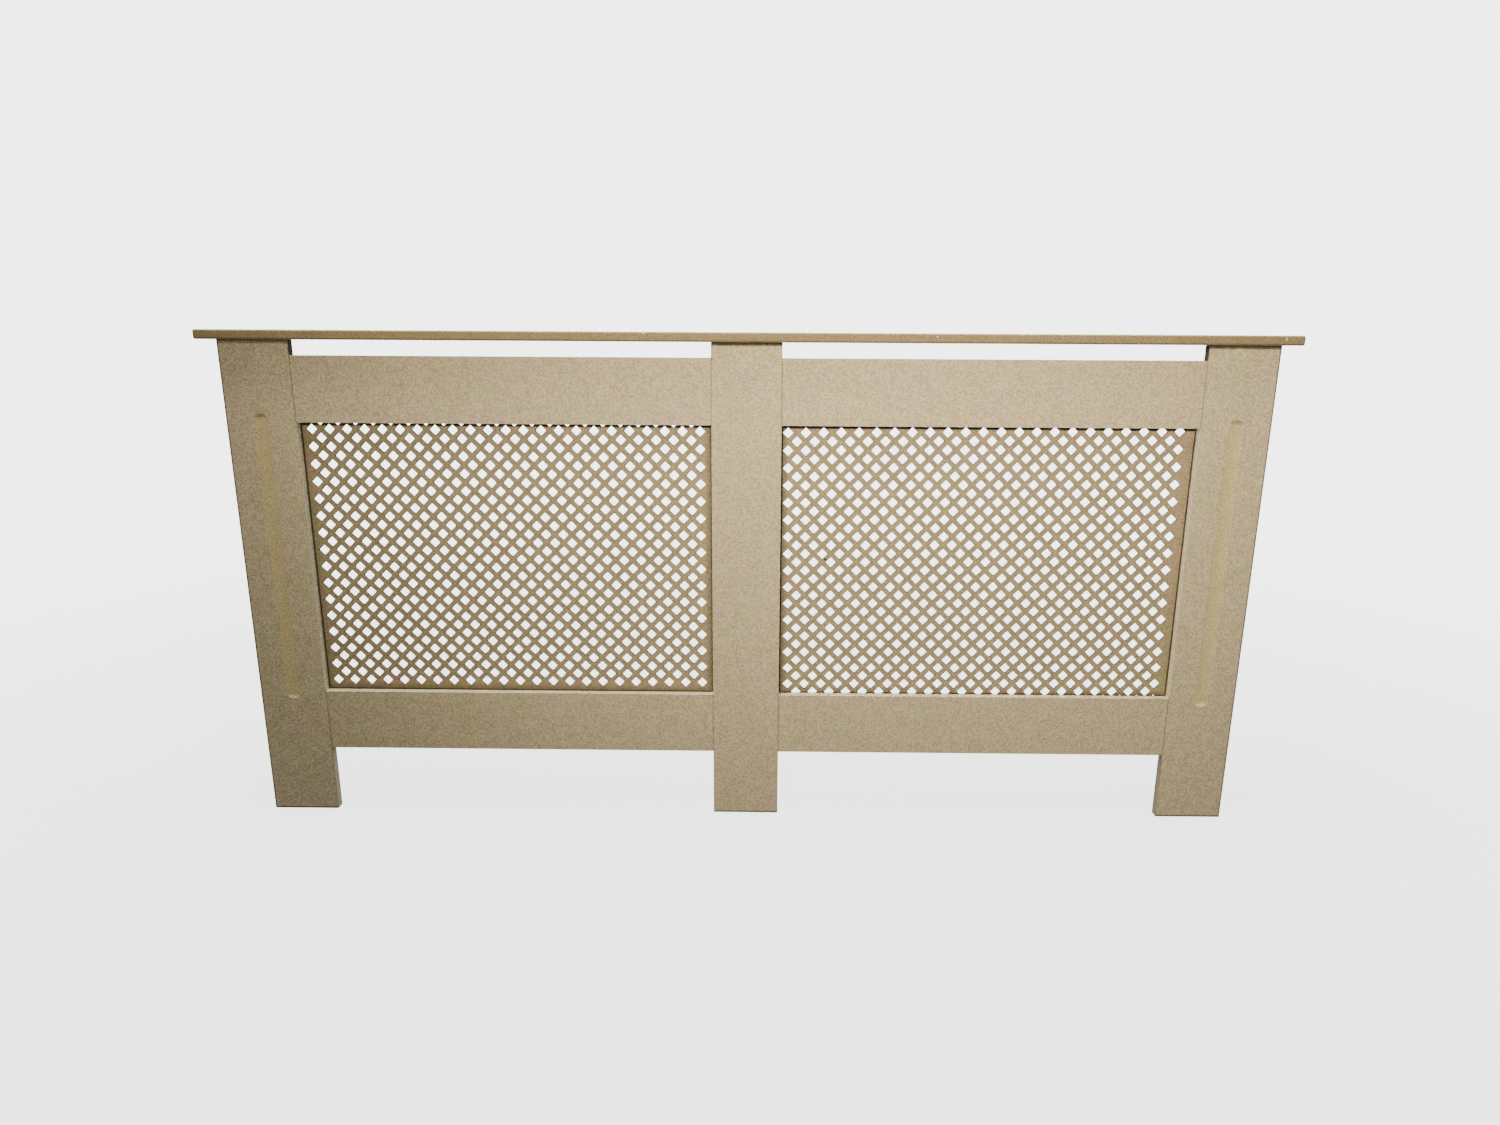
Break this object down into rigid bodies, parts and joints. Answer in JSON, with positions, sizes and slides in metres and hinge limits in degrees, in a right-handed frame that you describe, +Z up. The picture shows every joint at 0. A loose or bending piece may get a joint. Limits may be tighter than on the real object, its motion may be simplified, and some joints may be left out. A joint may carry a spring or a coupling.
{
  "type": "radiator cover cabinet",
  "caption": "Long, low open-backed cabinet that stands against a wall over a radiator, with a shelf, a front frame of stiles and rails, and pierced lattice grilles behind its openings.",
  "frame": {"origin": "on the floor, under the middle of the top shelf in both its length and its depth", "axes": "+X along the wall to the right as the front is faced, +Y from the room to the wall, +Z up"},
  "size_m": [1.71, 0.19, 0.82],
  "materials": {
    "shelf_board": "bare medium-density fibreboard, sanded",
    "frame_board": "bare medium-density fibreboard, sanded",
    "grille_board": "bare thin fibreboard, punched",
    "biscuit_beech": "pressed beech",
    "batten_pine": "planed softwood",
    "bracket_steel": "bright zinc plate"
  },
  "bodies": {
    "root": {"top_shelf": "shelf_board", "left_end_stile": "frame_board", "centre_stile": "frame_board", "right_end_stile": "frame_board", "left_bottom_rail": "frame_board", "right_bottom_rail": "frame_board", "left_top_rail": "frame_board", "right_top_rail": "frame_board", "left_side_panel": "frame_board", "right_side_panel": "frame_board", "left_grille": "grille_board", "right_grille": "grille_board", "rail_biscuits": "biscuit_beech", "left_corner_batten": "batten_pine", "right_corner_batten": "batten_pine", "left_shelf_batten": "batten_pine", "right_shelf_batten": "batten_pine", "centre_block": "batten_pine", "left_wall_bracket": "bracket_steel", "right_wall_bracket": "bracket_steel"}
  },
  "joints": []
}
